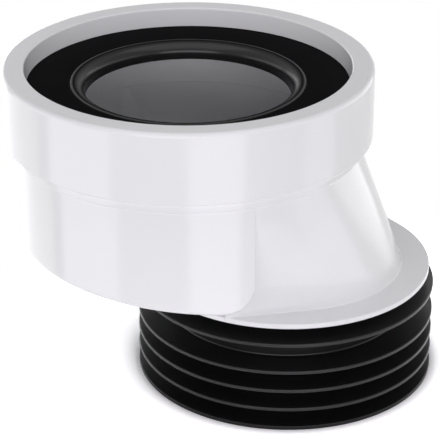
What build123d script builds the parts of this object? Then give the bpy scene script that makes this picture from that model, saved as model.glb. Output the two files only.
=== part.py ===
from build123d import *
from math import cos, radians, sin, sqrt, tan
import os

# Offset pan connector: a white moulded body with a wide inlet cup over an offset outlet spigot, a black inlet
# seal, the white collar that holds it down, and a black finned seal stretched over the outlet spigot.
# All sizes are in millimetres. The origin is on the outlet axis, at the foot of the finned seal, with +Z up.
# The inlet axis stands to the -X side.

# Heights and the offset between the two axes
OFFSET = 40.0             # inlet axis to outlet axis
RIM_HEIGHT = 131.9        # foot of the finned seal to the collar's rim
FLANGE_HEIGHT = 44.5      # foot of the finned seal to the top of the stop flange

# Collar round the inlet
COLLAR_WALL = 5.0         # skirt round the cup's mouth
COLLAR_DEPTH = 27.3       # rim to the collar's lower edge
RIM_WIDTH = 8.45          # flat of the rim, with its rounded edges
MOUTH_DEPTH = 7.6         # rim to the face of the inlet seal
MOUTH_DRAFT = 0.6         # radius lost from the rim to the seal
COLLAR_EDGE = 1.8         # rounding of the rim's outer edge
MOUTH_EDGE = 0.8          # rounding of the rim's inner edge
COLLAR_FOOT_EDGE = 0.6    # chamfer of the lower outer edge
COLLAR_FIT = 0.15         # clearance between the collar and the cup's mouth

# Inlet seal
SEAL_SHEET = 3.0          # thickness of the flat sheet
SEAL_FIT = 0.4            # clearance between the sheet's edge and the collar's bore
SEAL_HOLE_D = 77.6
LIP_ROLL = 4.6            # radius of the rolled edge round the hole
LIP_DEPTH = 6.0           # face of the seal to the foot of the lip
LIP_WALL = 3.0
BEAD_R = 0.6              # half round bead on the face, just outside the roll

# Body: inlet cup
CUP_OD = 129.5
CUP_WALL = 3.25           # round wall
SHOULDER_STEP = 1.75      # step that the collar sits on, proud of the round wall
SHOULDER_DEPTH = 4.5
CUP_FOOT = 57.0           # height of the cup's underside on the inlet axis
CUP_FALL = 5.4            # fall of the underside towards the outlet, in degrees
CUP_REACH = 5.3           # inlet axis to the end of the cup's upright wall, towards the outlet
CUP_CORNER = 10.0         # rounding where the underside turns up into that end
CUP_EDGE = 2.0            # rounding of the cup's lower edge
FLOOR_WALL = 3.2          # floor and end wall of the cup, and back wall of the neck

# Body: neck, stop flange and outlet spigot
SPIGOT_OD = 89.4
SPIGOT_WALL = 2.7
NECK_STEP = 1.4           # neck where it meets the flange, proud of the spigot
NECK_TUCK = 0.9           # top edge of the neck at the shoulder's foot, inside the round wall of the cup
CHEEK_TAPER = 6.5         # how far the neck's cheeks close in towards the inlet, in degrees
CHEEK_TOP = 0.4           # width of the cheeks where they fade out at the neck's top
FLANGE_OD = 114.0
FLANGE_THICKNESS = 2.1

# Finned outlet seal
SLEEVE_WALL = 2.5
FIN_OD = 118.0
FIN_COUNT = 4             # evenly spaced fins, from the foot up
FIN_PITCH = 8.0
FIN_TIP = 1.5             # thickness at the tip
FIN_ROOT = 2.6            # thickness at the sleeve
FIN_EDGE = 0.45           # rounding of the tip's edges
TOP_FIN_RISE = 11.6       # top fin above the highest of the evenly spaced ones
FOOT_LIP = 2.0            # rubber under the end of the spigot

# Places that follow from those sizes
INLET_X = -OFFSET
SEAL_FACE = RIM_HEIGHT - MOUTH_DEPTH
SEAL_SEAT = SEAL_FACE - SEAL_SHEET
COLLAR_FOOT = RIM_HEIGHT - COLLAR_DEPTH
SHOULDER_FOOT = COLLAR_FOOT - SHOULDER_DEPTH
CUP_R = CUP_OD / 2
CUP_BORE_R = CUP_R - CUP_WALL
COLLAR_BORE_R = CUP_R + COLLAR_FIT
COLLAR_R = COLLAR_BORE_R + COLLAR_WALL
MOUTH_R = COLLAR_R - RIM_WIDTH
FLANGE_FOOT = FLANGE_HEIGHT - FLANGE_THICKNESS
FLANGE_R = FLANGE_OD / 2
SPIGOT_R = SPIGOT_OD / 2
OUTLET_BORE_R = SPIGOT_R - SPIGOT_WALL
NECK_R = SPIGOT_R + NECK_STEP
CHEEK_RUN = sqrt(FLANGE_R ** 2 - NECK_R ** 2)
SLEEVE_R = SPIGOT_R + SLEEVE_WALL


def turned(*edges):
    """Solid turned about Z from a closed outline of (radius, height) edges."""
    return revolve(Plane.XZ * make_face(list(edges)), Axis.Z)


def turned_outline(*points):
    """Solid turned about Z from a closed outline with straight sides."""
    return turned(Polyline(*points, close=True))


def at_inlet(shape):
    """The shape, made about Z, moved to the inlet axis."""
    return Pos(INLET_X, 0, 0) * shape


def disc(radius, foot, top):
    """Upright cylinder about Z between two heights."""
    return extrude(Plane.XY.offset(foot) * Circle(radius), amount=top - foot)


def neck_outline(axis_x, radius, half_width, run, height):
    """Level outline of the neck: an arc towards the outlet, two cheeks tangent to it, and a straight back.

    The outline is drawn round and then widened from the radius to the half width.
    """
    turn = 90 + CHEEK_TAPER
    arc = CenterArc((axis_x, 0), radius, -turn, 2 * turn)
    corner = arc @ 1 - Vector(run * cos(radians(CHEEK_TAPER)), run * sin(radians(CHEEK_TAPER)))
    back = Polyline(arc @ 1, corner, (corner.X, -corner.Y), arc @ 0)
    outline = scale(make_face([arc, back]), by=(1, half_width / radius, 1))
    return Plane.XY.offset(height) * outline


def neck(top_r, foot_r, run):
    """Slanting neck from the shoulder's foot on the inlet axis down to the flange on the outlet axis.

    Its front runs straight. Its cheeks leave the cup upright and bow in towards the flange, where the run is
    their width.
    """
    top_r -= NECK_TUCK
    sections = []
    for share in (0, 0.5, 1):
        sections.append(neck_outline(
            INLET_X * (1 - share),
            top_r + (foot_r - top_r) * share,
            top_r + (foot_r - top_r) * share ** 2,
            CHEEK_TOP + (run - CHEEK_TOP) * share,
            SHOULDER_FOOT + (FLANGE_HEIGHT - SHOULDER_FOOT) * share,
        ))
    return loft(sections)


def cup(radius, inset, top):
    """Upright cup round the inlet axis with a sloping underside and an upright end towards the outlet.

    The inset moves the underside and the end wall inwards, for the hollow.
    """
    fall = tan(radians(CUP_FALL))
    floor = CUP_FOOT + inset / cos(radians(CUP_FALL))
    end = CUP_REACH - inset
    low_left = (-CUP_OD, floor + CUP_OD * fall)
    low_right = (end, floor - end * fall)
    side = make_face(Polyline(low_left, low_right, (end, top), (-CUP_OD, top), close=True))
    corner = side.vertices().sort_by_distance((*low_right, 0))[0]
    side = fillet(corner, CUP_CORNER - inset)
    block = extrude(Plane.XZ * side, amount=CUP_OD, both=True)
    return disc(radius, 0, top) & block


def is_wall_edge(edge):
    """True for the cup's edges that lie on its round wall, below the shoulder."""
    middle = edge.position_at(0.5)
    on_wall = abs(sqrt(middle.X ** 2 + middle.Y ** 2) - CUP_R) < CUP_EDGE / 100
    return on_wall and edge.center().Z < SHOULDER_FOOT - CUP_CORNER / 2


def make_body():
    """White body: cup, shoulder, slanting neck with bowed cheeks, stop flange and outlet spigot, hollow."""
    shell = cup(CUP_R, 0, SHOULDER_FOOT)
    shell = at_inlet(fillet([edge for edge in shell.edges() if is_wall_edge(edge)], CUP_EDGE))
    shell += neck(CUP_R, NECK_R, CHEEK_RUN)
    shell += at_inlet(disc(CUP_R, SHOULDER_FOOT, SEAL_SEAT))
    shell += at_inlet(disc(CUP_R + SHOULDER_STEP, SHOULDER_FOOT, COLLAR_FOOT))
    shell += disc(FLANGE_R, FLANGE_FOOT, FLANGE_HEIGHT)
    shell += disc(SPIGOT_R, FOOT_LIP, FLANGE_FOOT)
    hollow = at_inlet(cup(CUP_BORE_R, FLOOR_WALL, SHOULDER_FOOT))
    hollow += neck(CUP_BORE_R, OUTLET_BORE_R, CHEEK_RUN - FLOOR_WALL)
    hollow += at_inlet(disc(CUP_BORE_R, SHOULDER_FOOT, RIM_HEIGHT))
    hollow += disc(OUTLET_BORE_R, 0, FLANGE_HEIGHT)
    return shell - hollow


def make_collar():
    """White collar: a skirt over the cup's mouth, and a deep rim that presses on the inlet seal."""
    ring = turned_outline(
        (COLLAR_BORE_R, COLLAR_FOOT),
        (COLLAR_R - COLLAR_FOOT_EDGE, COLLAR_FOOT),
        (COLLAR_R, COLLAR_FOOT + COLLAR_FOOT_EDGE),
        (COLLAR_R, RIM_HEIGHT),
        (MOUTH_R, RIM_HEIGHT),
        (MOUTH_R - MOUTH_DRAFT, SEAL_FACE),
        (COLLAR_BORE_R, SEAL_FACE),
    )
    rim = ring.edges().filter_by(GeomType.CIRCLE).group_by(Axis.Z)[-1].sort_by(SortBy.RADIUS)
    ring = fillet(rim[-1], COLLAR_EDGE)
    rim = ring.edges().filter_by(GeomType.CIRCLE).group_by(Axis.Z)[-1].sort_by(SortBy.RADIUS)
    return at_inlet(fillet(rim[0], MOUTH_EDGE))


def make_inlet_seal():
    """Black inlet seal: a flat sheet held under the collar, a bead, and a rolled lip round the hole."""
    hole = SEAL_HOLE_D / 2
    edge = COLLAR_BORE_R - SEAL_FIT
    roll = hole + LIP_ROLL
    bead = roll + BEAD_R
    foot = SEAL_FACE - LIP_DEPTH
    lip_back = hole + LIP_WALL
    return at_inlet(turned(
        Polyline((edge, SEAL_FACE), (edge, SEAL_SEAT), (lip_back + SEAL_SEAT - foot, SEAL_SEAT),
                 (lip_back, foot), (hole, foot), (hole, SEAL_FACE - LIP_ROLL)),
        CenterArc((roll, SEAL_FACE - LIP_ROLL), LIP_ROLL, 90, 90),
        CenterArc((bead, SEAL_FACE), BEAD_R, 0, 180),
        Line((bead + BEAD_R, SEAL_FACE), (edge, SEAL_FACE)),
    ))


def fin(face):
    """One flexible fin: a thin tapering disc with softened tip edges, its face at the given height."""
    rim = FIN_OD / 2
    corners = [(rim, face), (SPIGOT_R, face), (SPIGOT_R, face - FIN_ROOT), (rim, face - FIN_TIP)]
    side = make_face(Polyline(*corners, close=True))
    side = fillet(side.vertices().group_by(Axis.X)[-1], FIN_EDGE)
    return revolve(Plane.XZ * side, Axis.Z)


def make_outlet_seal():
    """Black finned seal: a sleeve up to the flange, a foot lip under the spigot, and the fins."""
    seal = turned_outline(
        (OUTLET_BORE_R, 0),
        (SLEEVE_R, 0),
        (SLEEVE_R, FLANGE_FOOT),
        (SPIGOT_R, FLANGE_FOOT),
        (SPIGOT_R, FOOT_LIP),
        (OUTLET_BORE_R, FOOT_LIP),
    )
    faces = [FIN_TIP + FIN_PITCH * place for place in range(FIN_COUNT)]
    faces.append(faces[-1] + TOP_FIN_RISE)
    for face in faces:
        seal += fin(face)
    return seal & disc(FIN_OD, 0, FLANGE_FOOT)  # the foot is cut level


os.makedirs("parts", exist_ok=True)
pieces = {
    "body": make_body(),
    "retaining_collar": make_collar(),
    "inlet_seal": make_inlet_seal(),
    "outlet_seal": make_outlet_seal(),
}
for name, piece in pieces.items():
    export_step(piece, f"parts/{name}.step")
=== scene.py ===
"""Studio scene of an offset toilet pan connector.

A white moulded body with a wide inlet cup, a slanting neck and a stop flange carries a white collar that
holds a rubber inlet seal, and a finned rubber seal on its outlet. All lengths are in metres.
"""

import logging
import math
from dataclasses import dataclass
from enum import Enum

import bmesh
import bpy
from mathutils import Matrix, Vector


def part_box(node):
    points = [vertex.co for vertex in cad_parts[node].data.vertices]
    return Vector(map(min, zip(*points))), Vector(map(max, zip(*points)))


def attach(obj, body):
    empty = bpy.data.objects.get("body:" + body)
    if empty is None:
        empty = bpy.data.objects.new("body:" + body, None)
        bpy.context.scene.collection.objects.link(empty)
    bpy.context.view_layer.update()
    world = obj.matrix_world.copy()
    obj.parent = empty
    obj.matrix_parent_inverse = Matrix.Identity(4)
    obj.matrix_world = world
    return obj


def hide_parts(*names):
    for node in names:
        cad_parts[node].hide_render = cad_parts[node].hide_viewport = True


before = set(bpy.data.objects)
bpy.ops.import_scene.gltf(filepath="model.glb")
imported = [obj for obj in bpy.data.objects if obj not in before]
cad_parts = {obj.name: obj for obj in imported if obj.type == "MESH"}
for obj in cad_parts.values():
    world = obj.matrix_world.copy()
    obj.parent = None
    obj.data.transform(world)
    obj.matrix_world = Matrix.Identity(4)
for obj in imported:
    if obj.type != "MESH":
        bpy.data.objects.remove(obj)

log = logging.getLogger("pan_connector")

MM = 0.001
TURN_STEPS = 240          # segments round a turned piece
ARC_STEP = math.radians(11.25)    # turn between the points of a rounded corner
MERGE = 0.001 * MM        # points closer than this become one
CLEAR = 0.002 * MM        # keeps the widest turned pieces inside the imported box
SMOOTH_ANGLE = math.radians(24)   # edges with more turn than this stay crisp

Outline = list[tuple[float, float, float]]


class Join(Enum):
    """How one solid changes another."""

    ADD = "UNION"
    CUT = "DIFFERENCE"


class Slot(Enum):
    """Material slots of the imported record."""

    WHITE = "white_plastic"
    BLACK = "black_rubber"


def eased(share: float) -> float:
    """Ease a share from 0 to 1 in and out."""
    return share * share * (3 - 2 * share)


def rounded(corners: Outline) -> list[tuple[float, float]]:
    """Round each corner of a closed outline.

    Args:
        corners: Radius from the axis, height and rounding of each corner, in order round the outline.

    Returns:
        Points (radius from the axis, height) along the outline, with an arc at each rounded corner.
    """
    points: list[tuple[float, float]] = []
    for place, (radius, height, rounding) in enumerate(corners):
        corner = Vector((radius, height))
        if rounding == 0:
            points.append(corner.to_tuple())
            continue
        back = (Vector(corners[place - 1][:2]) - corner).normalized()
        ahead = (Vector(corners[(place + 1) % len(corners)][:2]) - corner).normalized()
        half = back.angle(ahead) / 2
        middle = corner + (back + ahead).normalized() * rounding / math.sin(half)
        start = corner + back * rounding / math.tan(half) - middle
        sweep = start.angle_signed(corner + ahead * rounding / math.tan(half) - middle)
        steps = max(3, round(abs(sweep) / ARC_STEP))
        for step in range(steps + 1):
            turn = -sweep * step / steps
            points.append((middle.x + start.x * math.cos(turn) - start.y * math.sin(turn),
                           middle.y + start.x * math.sin(turn) + start.y * math.cos(turn)))
    return points


class Bench:
    """Modelling operators, each starting from a clean selection."""

    @staticmethod
    def deselect() -> None:
        """Leave edit mode and select nothing."""
        if bpy.context.object and bpy.context.object.mode != "OBJECT":
            bpy.ops.object.mode_set(mode="OBJECT")
        bpy.ops.object.select_all(action="DESELECT")

    @staticmethod
    def pick(piece: bpy.types.Object) -> None:
        """Make one piece the only selected one, and the active one."""
        Bench.deselect()
        piece.select_set(True)
        bpy.context.view_layer.objects.active = piece

    @staticmethod
    def added(name: str) -> bpy.types.Object:
        """Name the piece that an add operator has just made, and put its place into its mesh."""
        piece = bpy.context.object
        piece.name = name
        piece.data.name = name
        bpy.ops.object.transform_apply(location=True, rotation=True, scale=True)
        return piece

    @staticmethod
    def turned(name: str, corners: Outline, axis_x: float) -> bpy.types.Object:
        """Spin a closed outline about an upright axis.

        Args:
            name: Name of the new piece.
            corners: Radius from the axis, height and rounding of each corner.
            axis_x: Place of the axis along X.

        Returns:
            The turned solid.
        """
        points = [Vector((axis_x + radius, 0, height)) for radius, height in rounded(corners)]
        Bench.deselect()
        bpy.ops.mesh.primitive_plane_add(size=MM, location=points[0])
        piece = Bench.added(name)
        bpy.ops.object.mode_set(mode="EDIT")
        bpy.ops.mesh.select_all(action="SELECT")
        bpy.ops.mesh.merge(type="CENTER")
        for here, there in zip(points, points[1:] + points[:1]):
            bpy.ops.mesh.extrude_vertices_move(TRANSFORM_OT_translate={"value": there - here})
        bpy.ops.mesh.select_all(action="SELECT")
        bpy.ops.mesh.spin(steps=TURN_STEPS, angle=math.tau, center=(axis_x, 0, 0), axis=(0, 0, 1))
        Bench.tidy()
        return piece

    @staticmethod
    def lofted(name: str, rings: list[list[Vector]], ladder: bool = False) -> bpy.types.Object:
        """Extrude a filled ring through a stack of outlines with the same number of points.

        Args:
            name: Name of the new piece.
            rings: Points of each outline, in order.
            ladder: Whether the last outline is closed by rungs between its mirrored points.

        Returns:
            The closed solid between the first and the last outline.
        """
        Bench.deselect()
        bpy.ops.mesh.primitive_circle_add(vertices=len(rings[0]), radius=MM, fill_type="NGON")
        piece = Bench.added(name)
        bpy.ops.object.mode_set(mode="EDIT")
        bpy.ops.mesh.select_all(action="SELECT")
        places = [vert.co.copy() for vert in piece.data.vertices]
        for level, ring in enumerate(rings):
            if level:
                bpy.ops.mesh.extrude_region_move()
            mesh = bmesh.from_edit_mesh(piece.data)
            for vert in [vert for vert in mesh.verts if vert.select]:
                nearest = min(range(len(places)), key=lambda i: (places[i] - vert.co).length_squared)
                vert.co = ring[nearest]
            bmesh.update_edit_mesh(piece.data)
            places = ring
        if ladder:
            bpy.ops.mesh.delete(type="ONLY_FACE")
            mesh = bmesh.from_edit_mesh(piece.data)
            rim = [min(mesh.verts, key=lambda vert: (vert.co - point).length_squared) for point in places]
            for near in range(len(rim) // 2 - 1):
                mesh.faces.new((rim[near], rim[near + 1], rim[-2 - near], rim[-1 - near]))
            bmesh.update_edit_mesh(piece.data)
        Bench.tidy()
        return piece

    @staticmethod
    def tidy() -> None:
        """Merge doubles, turn the normals outwards and leave edit mode."""
        bpy.ops.mesh.select_all(action="SELECT")
        bpy.ops.mesh.remove_doubles(threshold=MERGE)
        bpy.ops.mesh.delete_loose()
        bpy.ops.mesh.select_all(action="SELECT")
        bpy.ops.mesh.normals_make_consistent(inside=False)
        bpy.ops.object.mode_set(mode="OBJECT")

    @staticmethod
    def join(piece: bpy.types.Object, other: bpy.types.Object, how: Join) -> None:
        """Change one solid by another with an exact Boolean, and remove the other."""
        Bench.pick(piece)
        modifier = piece.modifiers.new(how.name, "BOOLEAN")
        modifier.operation = how.value
        modifier.solver = "EXACT"
        modifier.object = other
        bpy.ops.object.modifier_apply(modifier=modifier.name)
        bpy.data.objects.remove(other, do_unlink=True)

    @staticmethod
    def finish(piece: bpy.types.Object, slot: Slot, material: bpy.types.Material, node: str) -> None:
        """Shade a piece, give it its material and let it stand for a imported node."""
        Bench.pick(piece)
        bpy.ops.object.shade_smooth_by_angle(angle=SMOOTH_ANGLE)
        modifier = piece.modifiers.new("even shading", "WEIGHTED_NORMAL")
        modifier.keep_sharp = True
        bpy.ops.object.modifier_apply(modifier=modifier.name)
        piece.data.materials.clear()
        piece.data.materials.append(material)
        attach(piece, "root")
        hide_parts(node)
        log.info("%s: %d faces", piece.name, len(piece.data.polygons))


@dataclass(frozen=True)
class Layout:
    """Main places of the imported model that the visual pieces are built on."""

    inlet_x: float
    rim: float
    collar_foot: float
    collar_r: float
    shoulder_r: float
    flange_r: float
    fin_r: float
    floor: float

    @classmethod
    def of_frame(cls) -> "Layout":
        """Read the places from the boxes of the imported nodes."""
        collar_low, collar_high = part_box("retaining_collar")
        body_low, body_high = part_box("body")
        seal_low, seal_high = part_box("outlet_seal")
        return cls(
            inlet_x=(collar_low.x + collar_high.x) / 2,
            rim=collar_high.z,
            collar_foot=collar_low.z,
            collar_r=(collar_high.x - collar_low.x) / 2 - CLEAR,
            shoulder_r=(body_high.y - body_low.y) / 2,
            flange_r=body_high.x,
            fin_r=seal_high.x - CLEAR,
            floor=seal_low.z,
        )


class Nodes:
    """Short ways to build a node tree."""

    def __init__(self, tree: bpy.types.NodeTree) -> None:
        """Start from an empty tree."""
        self.tree = tree
        tree.nodes.clear()

    def add(self, kind: str, **settings: object) -> bpy.types.Node:
        """Add a node and set its properties."""
        node = self.tree.nodes.new(kind)
        for key, value in settings.items():
            setattr(node, key, value)
        return node

    def link(self, source: bpy.types.NodeSocket, target: bpy.types.NodeSocket) -> None:
        """Join two sockets."""
        self.tree.links.new(source, target)


@dataclass(frozen=True)
class MouldedGrain:
    """Shared effect: slow unevenness and fine grain of a moulded surface, from object coordinates."""

    name: str = "moulded_grain"
    slow_detail: float = 2.0
    fine_detail: float = 4.0

    def group(self) -> bpy.types.NodeTree:
        """Return the node group, made once."""
        if self.name in bpy.data.node_groups:
            return bpy.data.node_groups[self.name]
        tree = bpy.data.node_groups.new(self.name, "ShaderNodeTree")
        for label, kind in (("Vector", "NodeSocketVector"), ("Slow Scale", "NodeSocketFloat"),
                            ("Fine Scale", "NodeSocketFloat")):
            tree.interface.new_socket(label, in_out="INPUT", socket_type=kind)
        for label in ("Slow", "Fine"):
            tree.interface.new_socket(label, in_out="OUTPUT", socket_type="NodeSocketFloat")
        nodes = Nodes(tree)
        source, result = nodes.add("NodeGroupInput"), nodes.add("NodeGroupOutput")
        for label, detail in (("Slow", self.slow_detail), ("Fine", self.fine_detail)):
            noise = nodes.add("ShaderNodeTexNoise")
            noise.inputs["Detail"].default_value = detail
            nodes.link(source.outputs["Vector"], noise.inputs["Vector"])
            nodes.link(source.outputs[f"{label} Scale"], noise.inputs["Scale"])
            nodes.link(noise.outputs["Fac"], result.inputs[label])
        return tree


@dataclass(frozen=True)
class PolishedLip:
    """Shared effect: a polished lip and a polished bead round an upright axis."""

    name: str = "polished_lip"

    def group(self) -> bpy.types.NodeTree:
        """Return the node group, made once."""
        if self.name in bpy.data.node_groups:
            return bpy.data.node_groups[self.name]
        tree = bpy.data.node_groups.new(self.name, "ShaderNodeTree")
        for label in ("Vector", "Axis"):
            tree.interface.new_socket(label, in_out="INPUT", socket_type="NodeSocketVector")
        for label in ("Full Radius", "End Radius", "Bead Radius", "Bead Reach", "Strength"):
            tree.interface.new_socket(label, in_out="INPUT", socket_type="NodeSocketFloat")
        tree.interface.new_socket("Polish", in_out="OUTPUT", socket_type="NodeSocketFloat")
        nodes = Nodes(tree)
        source, result = nodes.add("NodeGroupInput"), nodes.add("NodeGroupOutput")
        offset = nodes.add("ShaderNodeVectorMath", operation="SUBTRACT")
        level = nodes.add("ShaderNodeVectorMath", operation="MULTIPLY")
        level.inputs[1].default_value = (1, 1, 0)
        radius = nodes.add("ShaderNodeVectorMath", operation="LENGTH")
        nodes.link(source.outputs["Vector"], offset.inputs[0])
        nodes.link(source.outputs["Axis"], offset.inputs[1])
        nodes.link(offset.outputs["Vector"], level.inputs[0])
        nodes.link(level.outputs["Vector"], radius.inputs[0])
        lip, bead = [nodes.add("ShaderNodeMapRange") for _ in range(2)]
        for fade in (lip, bead):
            fade.inputs["To Min"].default_value = 1.0
            fade.inputs["To Max"].default_value = 0.0
        nodes.link(radius.outputs["Value"], lip.inputs["Value"])
        nodes.link(source.outputs["Full Radius"], lip.inputs["From Min"])
        nodes.link(source.outputs["End Radius"], lip.inputs["From Max"])
        beside = nodes.add("ShaderNodeMath", operation="SUBTRACT")
        away = nodes.add("ShaderNodeMath", operation="ABSOLUTE")
        nodes.link(radius.outputs["Value"], beside.inputs[0])
        nodes.link(source.outputs["Bead Radius"], beside.inputs[1])
        nodes.link(beside.outputs["Value"], away.inputs[0])
        nodes.link(away.outputs["Value"], bead.inputs["Value"])
        nodes.link(source.outputs["Bead Reach"], bead.inputs["From Max"])
        either = nodes.add("ShaderNodeMath", operation="MAXIMUM")
        polish = nodes.add("ShaderNodeMath", operation="MULTIPLY")
        nodes.link(lip.outputs["Result"], either.inputs[0])
        nodes.link(bead.outputs["Result"], either.inputs[1])
        nodes.link(either.outputs["Value"], polish.inputs[0])
        nodes.link(source.outputs["Strength"], polish.inputs[1])
        nodes.link(polish.outputs["Value"], result.inputs["Polish"])
        return tree


@dataclass(frozen=True)
class Polish:
    """Place and gloss of a polished lip and bead round an upright axis."""

    axis_x: float
    full_radius: float
    end_radius: float
    bead_radius: float
    bead_reach: float
    strength: float
    gloss: float


@dataclass(frozen=True)
class Finish:
    """A moulded surface with a slightly uneven tone, gloss and grain."""

    name: str
    tone_low: tuple[float, float, float]
    tone_high: tuple[float, float, float]
    gloss_low: float
    gloss_high: float
    specular: float
    slow_scale: float
    fine_scale: float
    grain_depth: float

    def material(self, polish: Polish | None = None) -> bpy.types.Material:
        """Build the material.

        Args:
            polish: Polished ring on the surface, if it has one.

        Returns:
            The new material.
        """
        material = bpy.data.materials.new(self.name)
        material.use_nodes = True
        nodes = Nodes(material.node_tree)
        shader = nodes.add("ShaderNodeBsdfPrincipled")
        shader.inputs["Specular IOR Level"].default_value = self.specular
        output = nodes.add("ShaderNodeOutputMaterial")
        nodes.link(shader.outputs["BSDF"], output.inputs["Surface"])
        place = nodes.add("ShaderNodeTexCoord")
        grain = nodes.add("ShaderNodeGroup", node_tree=MouldedGrain().group())
        grain.inputs["Slow Scale"].default_value = self.slow_scale
        grain.inputs["Fine Scale"].default_value = self.fine_scale
        nodes.link(place.outputs["Object"], grain.inputs["Vector"])
        tone = nodes.add("ShaderNodeMix", data_type="RGBA")
        tone_a, tone_b = [socket for socket in tone.inputs if socket.type == "RGBA"]
        tone_a.default_value = (*self.tone_low, 1)
        tone_b.default_value = (*self.tone_high, 1)
        mixed = next(socket for socket in tone.outputs if socket.type == "RGBA")
        nodes.link(grain.outputs["Slow"], tone.inputs["Factor"])
        nodes.link(mixed, shader.inputs["Base Color"])
        gloss = nodes.add("ShaderNodeMapRange")
        gloss.inputs["To Min"].default_value = self.gloss_low
        gloss.inputs["To Max"].default_value = self.gloss_high
        nodes.link(grain.outputs["Slow"], gloss.inputs["Value"])
        nodes.link(gloss.outputs["Result"], shader.inputs["Roughness"])
        bump = nodes.add("ShaderNodeBump")
        bump.inputs["Distance"].default_value = self.grain_depth
        nodes.link(grain.outputs["Fine"], bump.inputs["Height"])
        nodes.link(bump.outputs["Normal"], shader.inputs["Normal"])
        if polish:
            lip = nodes.add("ShaderNodeGroup", node_tree=PolishedLip().group())
            lip.inputs["Axis"].default_value = (polish.axis_x, 0, 0)
            lip.inputs["Full Radius"].default_value = polish.full_radius
            lip.inputs["End Radius"].default_value = polish.end_radius
            lip.inputs["Bead Radius"].default_value = polish.bead_radius
            lip.inputs["Bead Reach"].default_value = polish.bead_reach
            lip.inputs["Strength"].default_value = polish.strength
            nodes.link(place.outputs["Object"], lip.inputs["Vector"])
            nodes.link(lip.outputs["Polish"], shader.inputs["Coat Weight"])
            shader.inputs["Coat Roughness"].default_value = polish.gloss
        return material


WHITE = Finish(
    name="white_plastic",
    tone_low=(0.790, 0.795, 0.803),
    tone_high=(0.815, 0.819, 0.825),
    gloss_low=0.13,
    gloss_high=0.18,
    specular=0.38,
    slow_scale=28.0,
    fine_scale=900.0,
    grain_depth=0.004 * MM,
)
SHEET_RUBBER = Finish(
    name="sheet_rubber",
    tone_low=(0.0095, 0.0095, 0.0099),
    tone_high=(0.0140, 0.0140, 0.0146),
    gloss_low=0.30,
    gloss_high=0.38,
    specular=0.0,
    slow_scale=45.0,
    fine_scale=1400.0,
    grain_depth=0.010 * MM,
)
FINNED_RUBBER = Finish(
    name="finned_rubber",
    tone_low=(0.0052, 0.0052, 0.0054),
    tone_high=(0.0086, 0.0086, 0.0089),
    gloss_low=0.30,
    gloss_high=0.38,
    specular=0.27,
    slow_scale=45.0,
    fine_scale=1400.0,
    grain_depth=0.010 * MM,
)


@dataclass
class Collar:
    """White collar that holds the inlet seal down."""

    layout: Layout
    rim_width: float = 8.45 * MM
    mouth_depth: float = 7.6 * MM
    mouth_draft: float = 0.6 * MM
    wall: float = 5.0 * MM
    outer_edge: float = 1.8 * MM
    inner_edge: float = 0.8 * MM
    foot_edge: float = 0.6 * MM
    hidden_edge: float = 0.2 * MM

    def build(self, material: bpy.types.Material) -> None:
        """Turn the collar about the inlet axis."""
        places = self.layout
        bore = places.collar_r - self.wall
        mouth = places.collar_r - self.rim_width
        face = places.rim - self.mouth_depth
        ring = Bench.turned("collar", [
            (bore, places.collar_foot, 0),
            (places.collar_r, places.collar_foot, self.foot_edge),
            (places.collar_r, places.rim, self.outer_edge),
            (mouth, places.rim, self.inner_edge),
            (mouth - self.mouth_draft, face, self.hidden_edge),
            (bore, face, 0),
        ], places.inlet_x)
        Bench.finish(ring, Slot.WHITE, material, "retaining_collar")


@dataclass
class InletSeal:
    """Black sheet seal with a bead and a rolled lip round its hole."""

    layout: Layout
    face_depth: float = 7.6 * MM
    sheet: float = 3.0 * MM
    edge_gap: float = 5.4 * MM
    hole_r: float = 38.8 * MM
    roll: float = 4.6 * MM
    lip_depth: float = 6.0 * MM
    lip_wall: float = 3.0 * MM
    lip_edge: float = 0.5 * MM
    bead_r: float = 0.6 * MM
    polish_full: float = 1.8 * MM
    polish_end: float = 4.2 * MM
    bead_reach: float = 0.8 * MM
    polish_strength: float = 0.5
    polish_gloss: float = 0.22

    def polish(self) -> Polish:
        """Place of the polish on the rolled lip and on the bead."""
        return Polish(
            axis_x=self.layout.inlet_x,
            full_radius=self.hole_r + self.polish_full,
            end_radius=self.hole_r + self.polish_end,
            bead_radius=self.hole_r + self.roll + self.bead_r,
            bead_reach=self.bead_reach,
            strength=self.polish_strength,
            gloss=self.polish_gloss,
        )

    def build(self, material: bpy.types.Material) -> None:
        """Turn the seal about the inlet axis."""
        places = self.layout
        face = places.rim - self.face_depth
        seat = face - self.sheet
        foot = face - self.lip_depth
        edge = places.collar_r - self.edge_gap
        bead = self.hole_r + self.roll
        lip_back = self.hole_r + self.lip_wall
        ring = Bench.turned("inlet_lip_seal", [
            (edge, face, 0),
            (edge, seat, 0),
            (lip_back + seat - foot, seat, self.lip_edge),
            (lip_back, foot, self.lip_edge),
            (self.hole_r, foot, self.lip_edge),
            (self.hole_r, face, self.roll),
            (bead, face + self.bead_r, self.bead_r),
            (bead + 2 * self.bead_r, face + self.bead_r, self.bead_r),
            (bead + 2 * self.bead_r, face, 0),
        ], places.inlet_x)
        Bench.finish(ring, Slot.BLACK, material, "inlet_seal")


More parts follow.
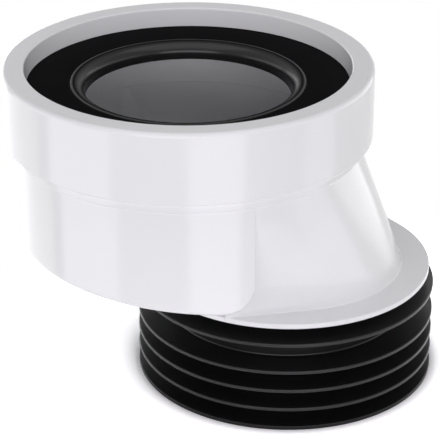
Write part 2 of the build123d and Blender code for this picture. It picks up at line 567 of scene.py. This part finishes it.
@dataclass
class OutletSeal:
    """Black sleeve with thin fins, stretched over the outlet spigot."""

    layout: Layout
    bore_r: float = 42.0 * MM
    spigot_r: float = 44.7 * MM
    sleeve_r: float = 47.2 * MM
    sleeve_top: float = 42.4 * MM
    foot_lip: float = 2.0 * MM
    fin_count: int = 4
    pitch: float = 8.0 * MM
    top_rise: float = 11.6 * MM
    tip: float = 1.5 * MM
    root: float = 2.4 * MM
    tip_edge: float = 0.45 * MM
    foot_edge: float = 0.1 * MM
    root_edge: float = 0.8 * MM

    def fin(self, face: float, edge: float) -> Outline:
        """Corners of one fin with rounded tips, from the foot of its underside to the foot of its face."""
        return [
            (self.sleeve_r, face - self.root, self.root_edge),
            (self.layout.fin_r, face - self.tip, edge),
            (self.layout.fin_r, face, edge),
            (self.sleeve_r, face, self.root_edge),
        ]

    def build(self, material: bpy.types.Material) -> None:
        """Turn the sleeve and its fins about the outlet axis."""
        foot = self.layout.floor
        faces = [foot + self.tip + self.pitch * place for place in range(self.fin_count)]
        faces.append(faces[-1] + self.top_rise)
        corners: Outline = [(self.bore_r, foot, 0), *self.fin(faces[0], self.foot_edge)[1:]]
        for face in faces[1:]:
            corners += self.fin(face, self.tip_edge)
        corners += [
            (self.sleeve_r, self.sleeve_top, 0),
            (self.spigot_r, self.sleeve_top, 0),
            (self.spigot_r, foot + self.foot_lip, 0),
            (self.bore_r, foot + self.foot_lip, 0),
        ]
        Bench.finish(Bench.turned("finned_seal", corners, 0), Slot.BLACK, material, "outlet_seal")


@dataclass
class Body:
    """White moulding: inlet cup, shoulder, slanting neck with bowed cheeks, stop flange and spigot."""

    layout: Layout
    mouth_top: float = 121.3 * MM
    cup_r: float = 64.75 * MM
    cup_wall: float = 3.25 * MM
    shoulder_depth: float = 4.5 * MM
    shoulder_edge: float = 0.5 * MM
    cup_foot: float = 57.0 * MM
    cup_fall: float = math.radians(5.4)
    cup_reach: float = 5.3 * MM
    cup_corner: float = 10.0 * MM
    cup_edge: float = 2.0 * MM
    inner_edge: float = 0.5 * MM
    floor_wall: float = 3.2 * MM
    flange_top: float = 44.5 * MM
    flange_thickness: float = 2.1 * MM
    flange_edge: float = 0.5 * MM
    spigot_r: float = 44.7 * MM
    spigot_foot: float = 2.0 * MM
    bore_r: float = 42.0 * MM
    bore_step: float = 0.5 * MM
    neck_r: float = 46.1 * MM
    neck_tuck: float = 0.2 * MM
    cheek_taper: float = math.radians(6.5)
    cheek_top: float = 0.4 * MM
    foot_fillet: float = 0.35 * MM
    overlap: float = 1.0 * MM
    cup_overlap: float = 2.0 * MM
    inner_overlap: float = 0.2 * MM
    bore_overlap: float = 0.1 * MM
    end_corner: float = 0.3 * MM
    inner_corner: float = 12.0 * MM
    least_corner: float = 0.05 * MM
    corner_steps: int = 10
    side_steps: int = 90
    edge_steps: int = 6
    neck_steps: int = 128
    fillet_steps: int = 5
    bow_steps: int = 14
    bow_start: float = math.radians(60)
    bow: float = 1.25

    @property
    def shoulder_foot(self) -> float:
        """Height of the step under the collar."""
        return self.layout.collar_foot - self.shoulder_depth

    def underside(self, reach: float, inset: float) -> float:
        """Height of the cup's underside at a reach from the inlet axis: a slope that turns up at the end."""
        fall = math.tan(self.cup_fall)
        floor = self.cup_foot + inset / math.cos(self.cup_fall)
        corner = self.cup_corner - inset
        middle = self.cup_reach - inset - corner
        height = floor - middle * fall + corner / math.cos(self.cup_fall)
        if reach < middle - corner * math.sin(self.cup_fall):
            return floor - reach * fall
        across = min(reach - middle, corner)
        return height - math.sqrt(corner ** 2 - across ** 2)

    def cup_side(self, radius: float, end: float, corner: float) -> list[tuple[float, float, float]]:
        """One half of the cup seen from above, from its flat end to its far side.

        Args:
            radius: Radius of the round wall.
            end: Reach of the flat end from the inlet axis.
            corner: Rounding between the flat end and the round wall.

        Returns:
            Reach, sideways place and share of the lower edge's rounding at each point.
        """
        across = math.sqrt((radius - corner) ** 2 - (end - corner) ** 2)
        turn = math.atan2(across, end - corner)
        side = []
        for step in range(self.corner_steps + 1):
            share = step / self.corner_steps
            angle = turn * share
            side.append((end - corner + corner * math.cos(angle), across + corner * math.sin(angle),
                         eased(share)))
        for step in range(1, self.side_steps):
            # The mirrored half goes on half a step past the far side.
            angle = turn + (math.pi - turn) * step / (self.side_steps - 0.5)
            side.append((radius * math.cos(angle), radius * math.sin(angle), 1))
        return side

    def cup(self, radius: float, inset: float, corner: float, rounding: float) -> bpy.types.Object:
        """Cup about the inlet axis with a flat end, a sloping underside and a softened lower edge.

        Args:
            radius: Radius of the round wall.
            inset: How far the flat end and the underside lie inside the outer ones.
            corner: Rounding of the upright corners at the flat end.
            rounding: Rounding of the lower edge.

        Returns:
            The closed solid up to just above the shoulder's foot.
        """
        top = self.shoulder_foot + self.cup_overlap
        rings = []
        for step in range(-1, self.edge_steps + 1):
            angle = math.pi / 2 * max(step, 0) / self.edge_steps
            shrink, lift = rounding * (1 - math.cos(angle)), rounding * (1 - math.sin(angle))
            side = self.cup_side(radius - shrink, self.cup_reach - inset - shrink,
                                 max(corner - shrink, self.least_corner))
            half = []
            for reach, across, share in side:
                height = top if step < 0 else self.underside(reach, inset) + lift * share
                half.append(Vector((self.layout.inlet_x + reach, across, height)))
            rings.append(half + [Vector((point.x, -point.y, point.z)) for point in reversed(half)])
        return Bench.lofted("cup", rings, ladder=True)

    def neck_ring(self, axis_x: float, radius: float, half_width: float, run: float,
                  height: float) -> list[Vector]:
        """Level outline of the neck: an arc towards the outlet, two tangent cheeks and a straight back.

        Args:
            axis_x: Place of the arc's middle along X.
            radius: Radius of the arc towards the outlet.
            half_width: Reach of the arc to each side, where the cheeks start.
            run: Width of the cheeks.
            height: Height of the outline.

        Returns:
            Points of the outline, the arc first.
        """
        turn = math.pi / 2 + self.cheek_taper
        widen = half_width / radius
        ring = []
        for step in range(self.neck_steps + 1):
            angle = turn * (2 * step / self.neck_steps - 1)
            ease = max(abs(angle) - self.bow_start, 0) / (turn - self.bow_start)
            side = radius + (half_width - radius) * eased(ease)
            ring.append(Vector((axis_x + radius * math.cos(angle), side * math.sin(angle), height)))
        slope = Vector((-math.cos(self.cheek_taper), -math.sin(self.cheek_taper) * widen, 0))
        corner = ring[-1] + slope * run
        return ring + [corner, Vector((corner.x, -corner.y, height))]

    def neck(self, top_r: float, foot_r: float, run: float, fillet: float) -> bpy.types.Object:
        """Slanting neck from the flange on the outlet axis to the shoulder on the inlet axis.

        Args:
            top_r: Radius of the cup's wall that the neck starts from.
            foot_r: Radius of the neck at the flange.
            run: Width of the cheeks at the flange.
            fillet: Rounding between the neck and the flange.

        Returns:
            The closed solid, a little longer than the neck at both ends.
        """
        rise = self.shoulder_foot - self.flange_top
        top_r -= self.neck_tuck

        def ring(height: float, flare: float) -> list[Vector]:
            """Outline at a height above the flange, grown sideways by the flare."""
            down = 1 - height / rise
            return self.neck_ring(self.layout.inlet_x * (1 - down),
                                  top_r + (foot_r - top_r) * down + flare,
                                  top_r + (foot_r - top_r) * abs(down) ** self.bow + flare,
                                  self.cheek_top + (run - self.cheek_top) * max(down, 0) + flare,
                                  self.flange_top + height)

        rings = [ring(-self.overlap if fillet else -self.inner_overlap, fillet)]
        for step in range(self.fillet_steps if fillet else 0):
            angle = math.pi / 2 * step / self.fillet_steps
            rings.append(ring(fillet * (1 - math.cos(angle)), fillet * (1 - math.sin(angle))))
        for step in range(self.bow_steps + 1):
            rings.append(ring(fillet + (rise - fillet) * step / self.bow_steps, 0))
        rings.append(ring(rise + self.overlap, 0))
        return Bench.lofted("neck", rings)

    def build(self, material: bpy.types.Material) -> None:
        """Join the outer solids, hollow them out and finish the moulding."""
        places = self.layout
        run = math.sqrt(places.flange_r ** 2 - self.neck_r ** 2)
        flange_foot = self.flange_top - self.flange_thickness
        shell = self.cup(self.cup_r, 0, self.end_corner, self.cup_edge)
        Bench.join(shell, self.neck(self.cup_r, self.neck_r, run, self.foot_fillet), Join.ADD)
        Bench.join(shell, Bench.turned("mouth", [
            (0, self.shoulder_foot, 0),
            (places.shoulder_r, self.shoulder_foot, self.shoulder_edge),
            (places.shoulder_r, places.collar_foot, 0),
            (self.cup_r, places.collar_foot, 0),
            (self.cup_r, self.mouth_top, 0),
            (0, self.mouth_top, 0),
        ], places.inlet_x), Join.ADD)
        Bench.join(shell, Bench.turned("outlet", [
            (0, self.spigot_foot, 0),
            (self.spigot_r, self.spigot_foot, 0),
            (self.spigot_r, flange_foot, 0),
            (places.flange_r, flange_foot, self.flange_edge),
            (places.flange_r, self.flange_top, self.flange_edge),
            (0, self.flange_top, 0),
        ], 0), Join.ADD)
        bore = self.cup_r - self.cup_wall
        hollow = self.cup(bore, self.floor_wall, self.inner_corner, self.inner_edge)
        inner_r = self.bore_r - self.bore_step
        Bench.join(hollow, self.neck(bore, inner_r, run - self.floor_wall, 0), Join.ADD)
        Bench.join(hollow, Bench.turned("inlet_bore", [
            (0, self.shoulder_foot, 0),
            (bore, self.shoulder_foot, 0),
            (bore, places.rim, 0),
            (0, places.rim, 0),
        ], places.inlet_x), Join.ADD)
        Bench.join(hollow, Bench.turned("outlet_bore", [
            (0, places.floor - self.overlap, 0),
            (self.bore_r, places.floor - self.overlap, 0),
            (self.bore_r, self.flange_top - self.bore_overlap, 0),
            (0, self.flange_top - self.bore_overlap, 0),
        ], 0), Join.ADD)
        Bench.join(shell, hollow, Join.CUT)
        shell.name = shell.data.name = "moulded_body"
        Bench.finish(shell, Slot.WHITE, material, "body")


Tint = tuple[float, float, float]
PLAIN: Tint = (1.0, 1.0, 1.0)
COOL: Tint = (0.975, 0.955, 1.0)
LIGHT_DISTANCE = 1.0
STRIP_HEIGHT = -0.42      # below the floor's level, so that the strips shine past the floor's edge
STRIP_LENGTH = 0.60
FILL_AIM = 0.06


@dataclass(frozen=True)
class Softbox:
    """A soft rectangular light that faces a point on the upright line through the object's middle."""

    name: str
    bearing: float            # degrees round the object from the camera, towards the picture's right
    distance: float
    height: float
    aim: float                # height of the point that it faces
    width: float
    length: float
    radiance: float
    tint: Tint = PLAIN


def low_strip(name: str, bearing: float, width: float, radiance: float, tint: Tint = PLAIN) -> Softbox:
    """A low softbox, which shows as an upright band of light on the round walls."""
    return Softbox(name, bearing, LIGHT_DISTANCE, height=STRIP_HEIGHT, aim=STRIP_HEIGHT, width=width,
                   length=STRIP_LENGTH, radiance=radiance, tint=tint)


def fill(name: str, bearing: float, height: float, width: float, length: float, radiance: float,
         tint: Tint = PLAIN) -> Softbox:
    """A broad softbox at the height of the object or above it."""
    return Softbox(name, bearing, LIGHT_DISTANCE, height=height, aim=FILL_AIM, width=width, length=length,
                   radiance=radiance, tint=tint)


SOFTBOXES = (
    low_strip("front_strip", 17.0, width=0.60, radiance=2.6, tint=COOL),
    low_strip("left_strip", -68.0, width=0.80, radiance=2.0, tint=COOL),
    low_strip("right_strip", 86.0, width=0.44, radiance=1.1, tint=COOL),
    low_strip("rear_strip", -130.0, width=1.15, radiance=1.0),
    fill("front_fill", 0.0, height=0.29, width=1.20, length=0.42, radiance=4.0, tint=COOL),
    fill("left_fill", -94.0, height=0.20, width=1.10, length=0.60, radiance=1.4),
    fill("right_fill", 78.0, height=0.20, width=0.80, length=0.60, radiance=0.95),
    fill("right_rear_fill", 122.0, height=0.10, width=0.80, length=0.70, radiance=1.5),
    fill("rear_fill", -150.0, height=0.10, width=0.70, length=0.60, radiance=1.8),
    Softbox("overhead", 0.0, distance=0.15, height=1.00, aim=0.10, width=1.20, length=1.20, radiance=1.10,
            tint=COOL),
)


@dataclass
class Studio:
    """Pale floor, soft lights, white surroundings and the camera."""

    layout: Layout
    floor_r: float = 0.14
    floor_drop: float = 0.05 * MM
    floor_tone: float = 0.9
    seen_tone: float = 3.0
    # painted contact shadow: reach and steepness of the ambient-occlusion darkening painted into the floor's
    # seen colour
    painted_shadow_reach: float = 12 * MM
    painted_shadow_depth: float = 1.5
    surroundings: float = 0.05
    seen_white: float = 1.0
    camera_place: tuple[float, float, float] = (-0.2329, -0.6484, 0.38735)
    camera_tilt: float = math.radians(64.629)
    camera_turn: float = math.radians(-17.577)
    camera_lens: float = 157.55

    @staticmethod
    def seen(nodes: Nodes) -> bpy.types.NodeSocket:
        """Return a factor that is 1 to the camera, in reflections and through glass, and 0 to other light."""
        path = nodes.add("ShaderNodeLightPath")
        mirrored = nodes.add("ShaderNodeMath", operation="MAXIMUM")
        nodes.link(path.outputs["Is Glossy Ray"], mirrored.inputs[0])
        nodes.link(path.outputs["Is Transmission Ray"], mirrored.inputs[1])
        either = nodes.add("ShaderNodeMath", operation="MAXIMUM")
        nodes.link(path.outputs["Is Camera Ray"], either.inputs[0])
        nodes.link(mirrored.outputs["Value"], either.inputs[1])
        return either.outputs["Value"]

    def floor(self) -> None:
        """Lay a round pale floor that is seen as white and takes the object's shadow from the lights, with a
        painted contact shadow: its seen colour darkens with ambient occlusion near the object.
        """
        Bench.deselect()
        bpy.ops.mesh.primitive_circle_add(vertices=TURN_STEPS, radius=self.floor_r, fill_type="NGON",
                                          location=(0, 0, self.layout.floor - self.floor_drop))
        floor = Bench.added("floor")
        material = bpy.data.materials.new("pale_floor")
        material.use_nodes = True
        nodes = Nodes(material.node_tree)
        # Painted contact shadow: ambient occlusion near the object darkens the floor's seen colour, raised to
        # a power to make it tighter and darker.
        painted_shadow_occlusion = nodes.add("ShaderNodeAmbientOcclusion")
        painted_shadow_occlusion.inputs["Distance"].default_value = self.painted_shadow_reach
        painted_shadow = nodes.add("ShaderNodeMath", operation="POWER")
        painted_shadow.inputs[1].default_value = self.painted_shadow_depth
        nodes.link(painted_shadow_occlusion.outputs["AO"], painted_shadow.inputs[0])
        tone = nodes.add("ShaderNodeMapRange")
        tone.inputs["To Max"].default_value = self.seen_tone
        nodes.link(painted_shadow.outputs["Value"], tone.inputs["Value"])
        # Other rays get the plain floor tone; camera, glossy and transmission rays get the bright seen tone
        # with the painted contact shadow.
        which = nodes.add("ShaderNodeMix")
        which.inputs["A"].default_value = self.floor_tone
        nodes.link(self.seen(nodes), which.inputs["Factor"])
        nodes.link(tone.outputs["Result"], which.inputs["B"])
        matte = nodes.add("ShaderNodeBsdfDiffuse")
        nodes.link(which.outputs["Result"], matte.inputs["Color"])
        output = nodes.add("ShaderNodeOutputMaterial")
        nodes.link(matte.outputs["BSDF"], output.inputs["Surface"])
        floor.data.materials.append(material)

    def surround(self) -> None:
        """Make the surroundings white where they are seen, and dim as a light."""
        world = bpy.data.worlds.new("studio")
        bpy.context.scene.world = world
        world.use_nodes = True
        nodes = Nodes(world.node_tree)
        level = nodes.add("ShaderNodeMapRange")
        level.inputs["To Min"].default_value = self.surroundings
        level.inputs["To Max"].default_value = self.seen_white
        nodes.link(self.seen(nodes), level.inputs["Value"])
        background = nodes.add("ShaderNodeBackground")
        background.inputs["Color"].default_value = (1, 1, 1, 1)
        nodes.link(level.outputs["Result"], background.inputs["Strength"])
        output = nodes.add("ShaderNodeOutputWorld")
        nodes.link(background.outputs["Background"], output.inputs["Surface"])

    def lights(self) -> None:
        """Stand the soft lights round the object."""
        middle = Vector((self.layout.inlet_x / 2, 0, 0))
        towards_camera = Vector(self.camera_place) - middle
        ahead = math.atan2(towards_camera.y, towards_camera.x)
        for box in SOFTBOXES:
            angle = ahead + math.radians(box.bearing)
            light = bpy.data.lights.new(box.name, "AREA")
            light.shape = "RECTANGLE"
            light.size, light.size_y = box.width, box.length
            light.color = box.tint
            light.energy = box.radiance * math.pi * box.width * box.length
            lamp = bpy.data.objects.new(box.name, light)
            outwards = Vector((math.cos(angle), math.sin(angle), 0)) * box.distance
            lamp.location = middle + outwards + Vector((0, 0, box.height))
            towards = Vector((0, 0, box.aim - box.height)) - outwards
            lamp.rotation_euler = towards.to_track_quat("-Z", "Y").to_euler()
            lamp.visible_camera = False
            bpy.context.scene.collection.objects.link(lamp)

    def camera(self) -> None:
        """Stand the camera where the photograph was taken."""
        camera = bpy.data.objects.new("camera", bpy.data.cameras.new("camera"))
        camera.data.lens = self.camera_lens
        camera.data.sensor_fit = "HORIZONTAL"
        camera.location = self.camera_place
        camera.rotation_euler = (self.camera_tilt, 0, self.camera_turn)
        bpy.context.scene.collection.objects.link(camera)
        bpy.context.scene.camera = camera

    def build(self) -> None:
        """Set up the whole studio."""
        self.floor()
        self.surround()
        self.lights()
        self.camera()
        bpy.context.scene.view_settings.view_transform = "Standard"


def main() -> None:
    """Build the pieces, then the studio."""
    logging.basicConfig(level=logging.INFO)
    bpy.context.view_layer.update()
    layout = Layout.of_frame()
    white = WHITE.material()
    Body(layout).build(white)
    Collar(layout).build(white)
    seal = InletSeal(layout)
    seal.build(SHEET_RUBBER.material(seal.polish()))
    OutletSeal(layout).build(FINNED_RUBBER.material())
    Studio(layout).build()


if __name__ == "__main__":
    main()
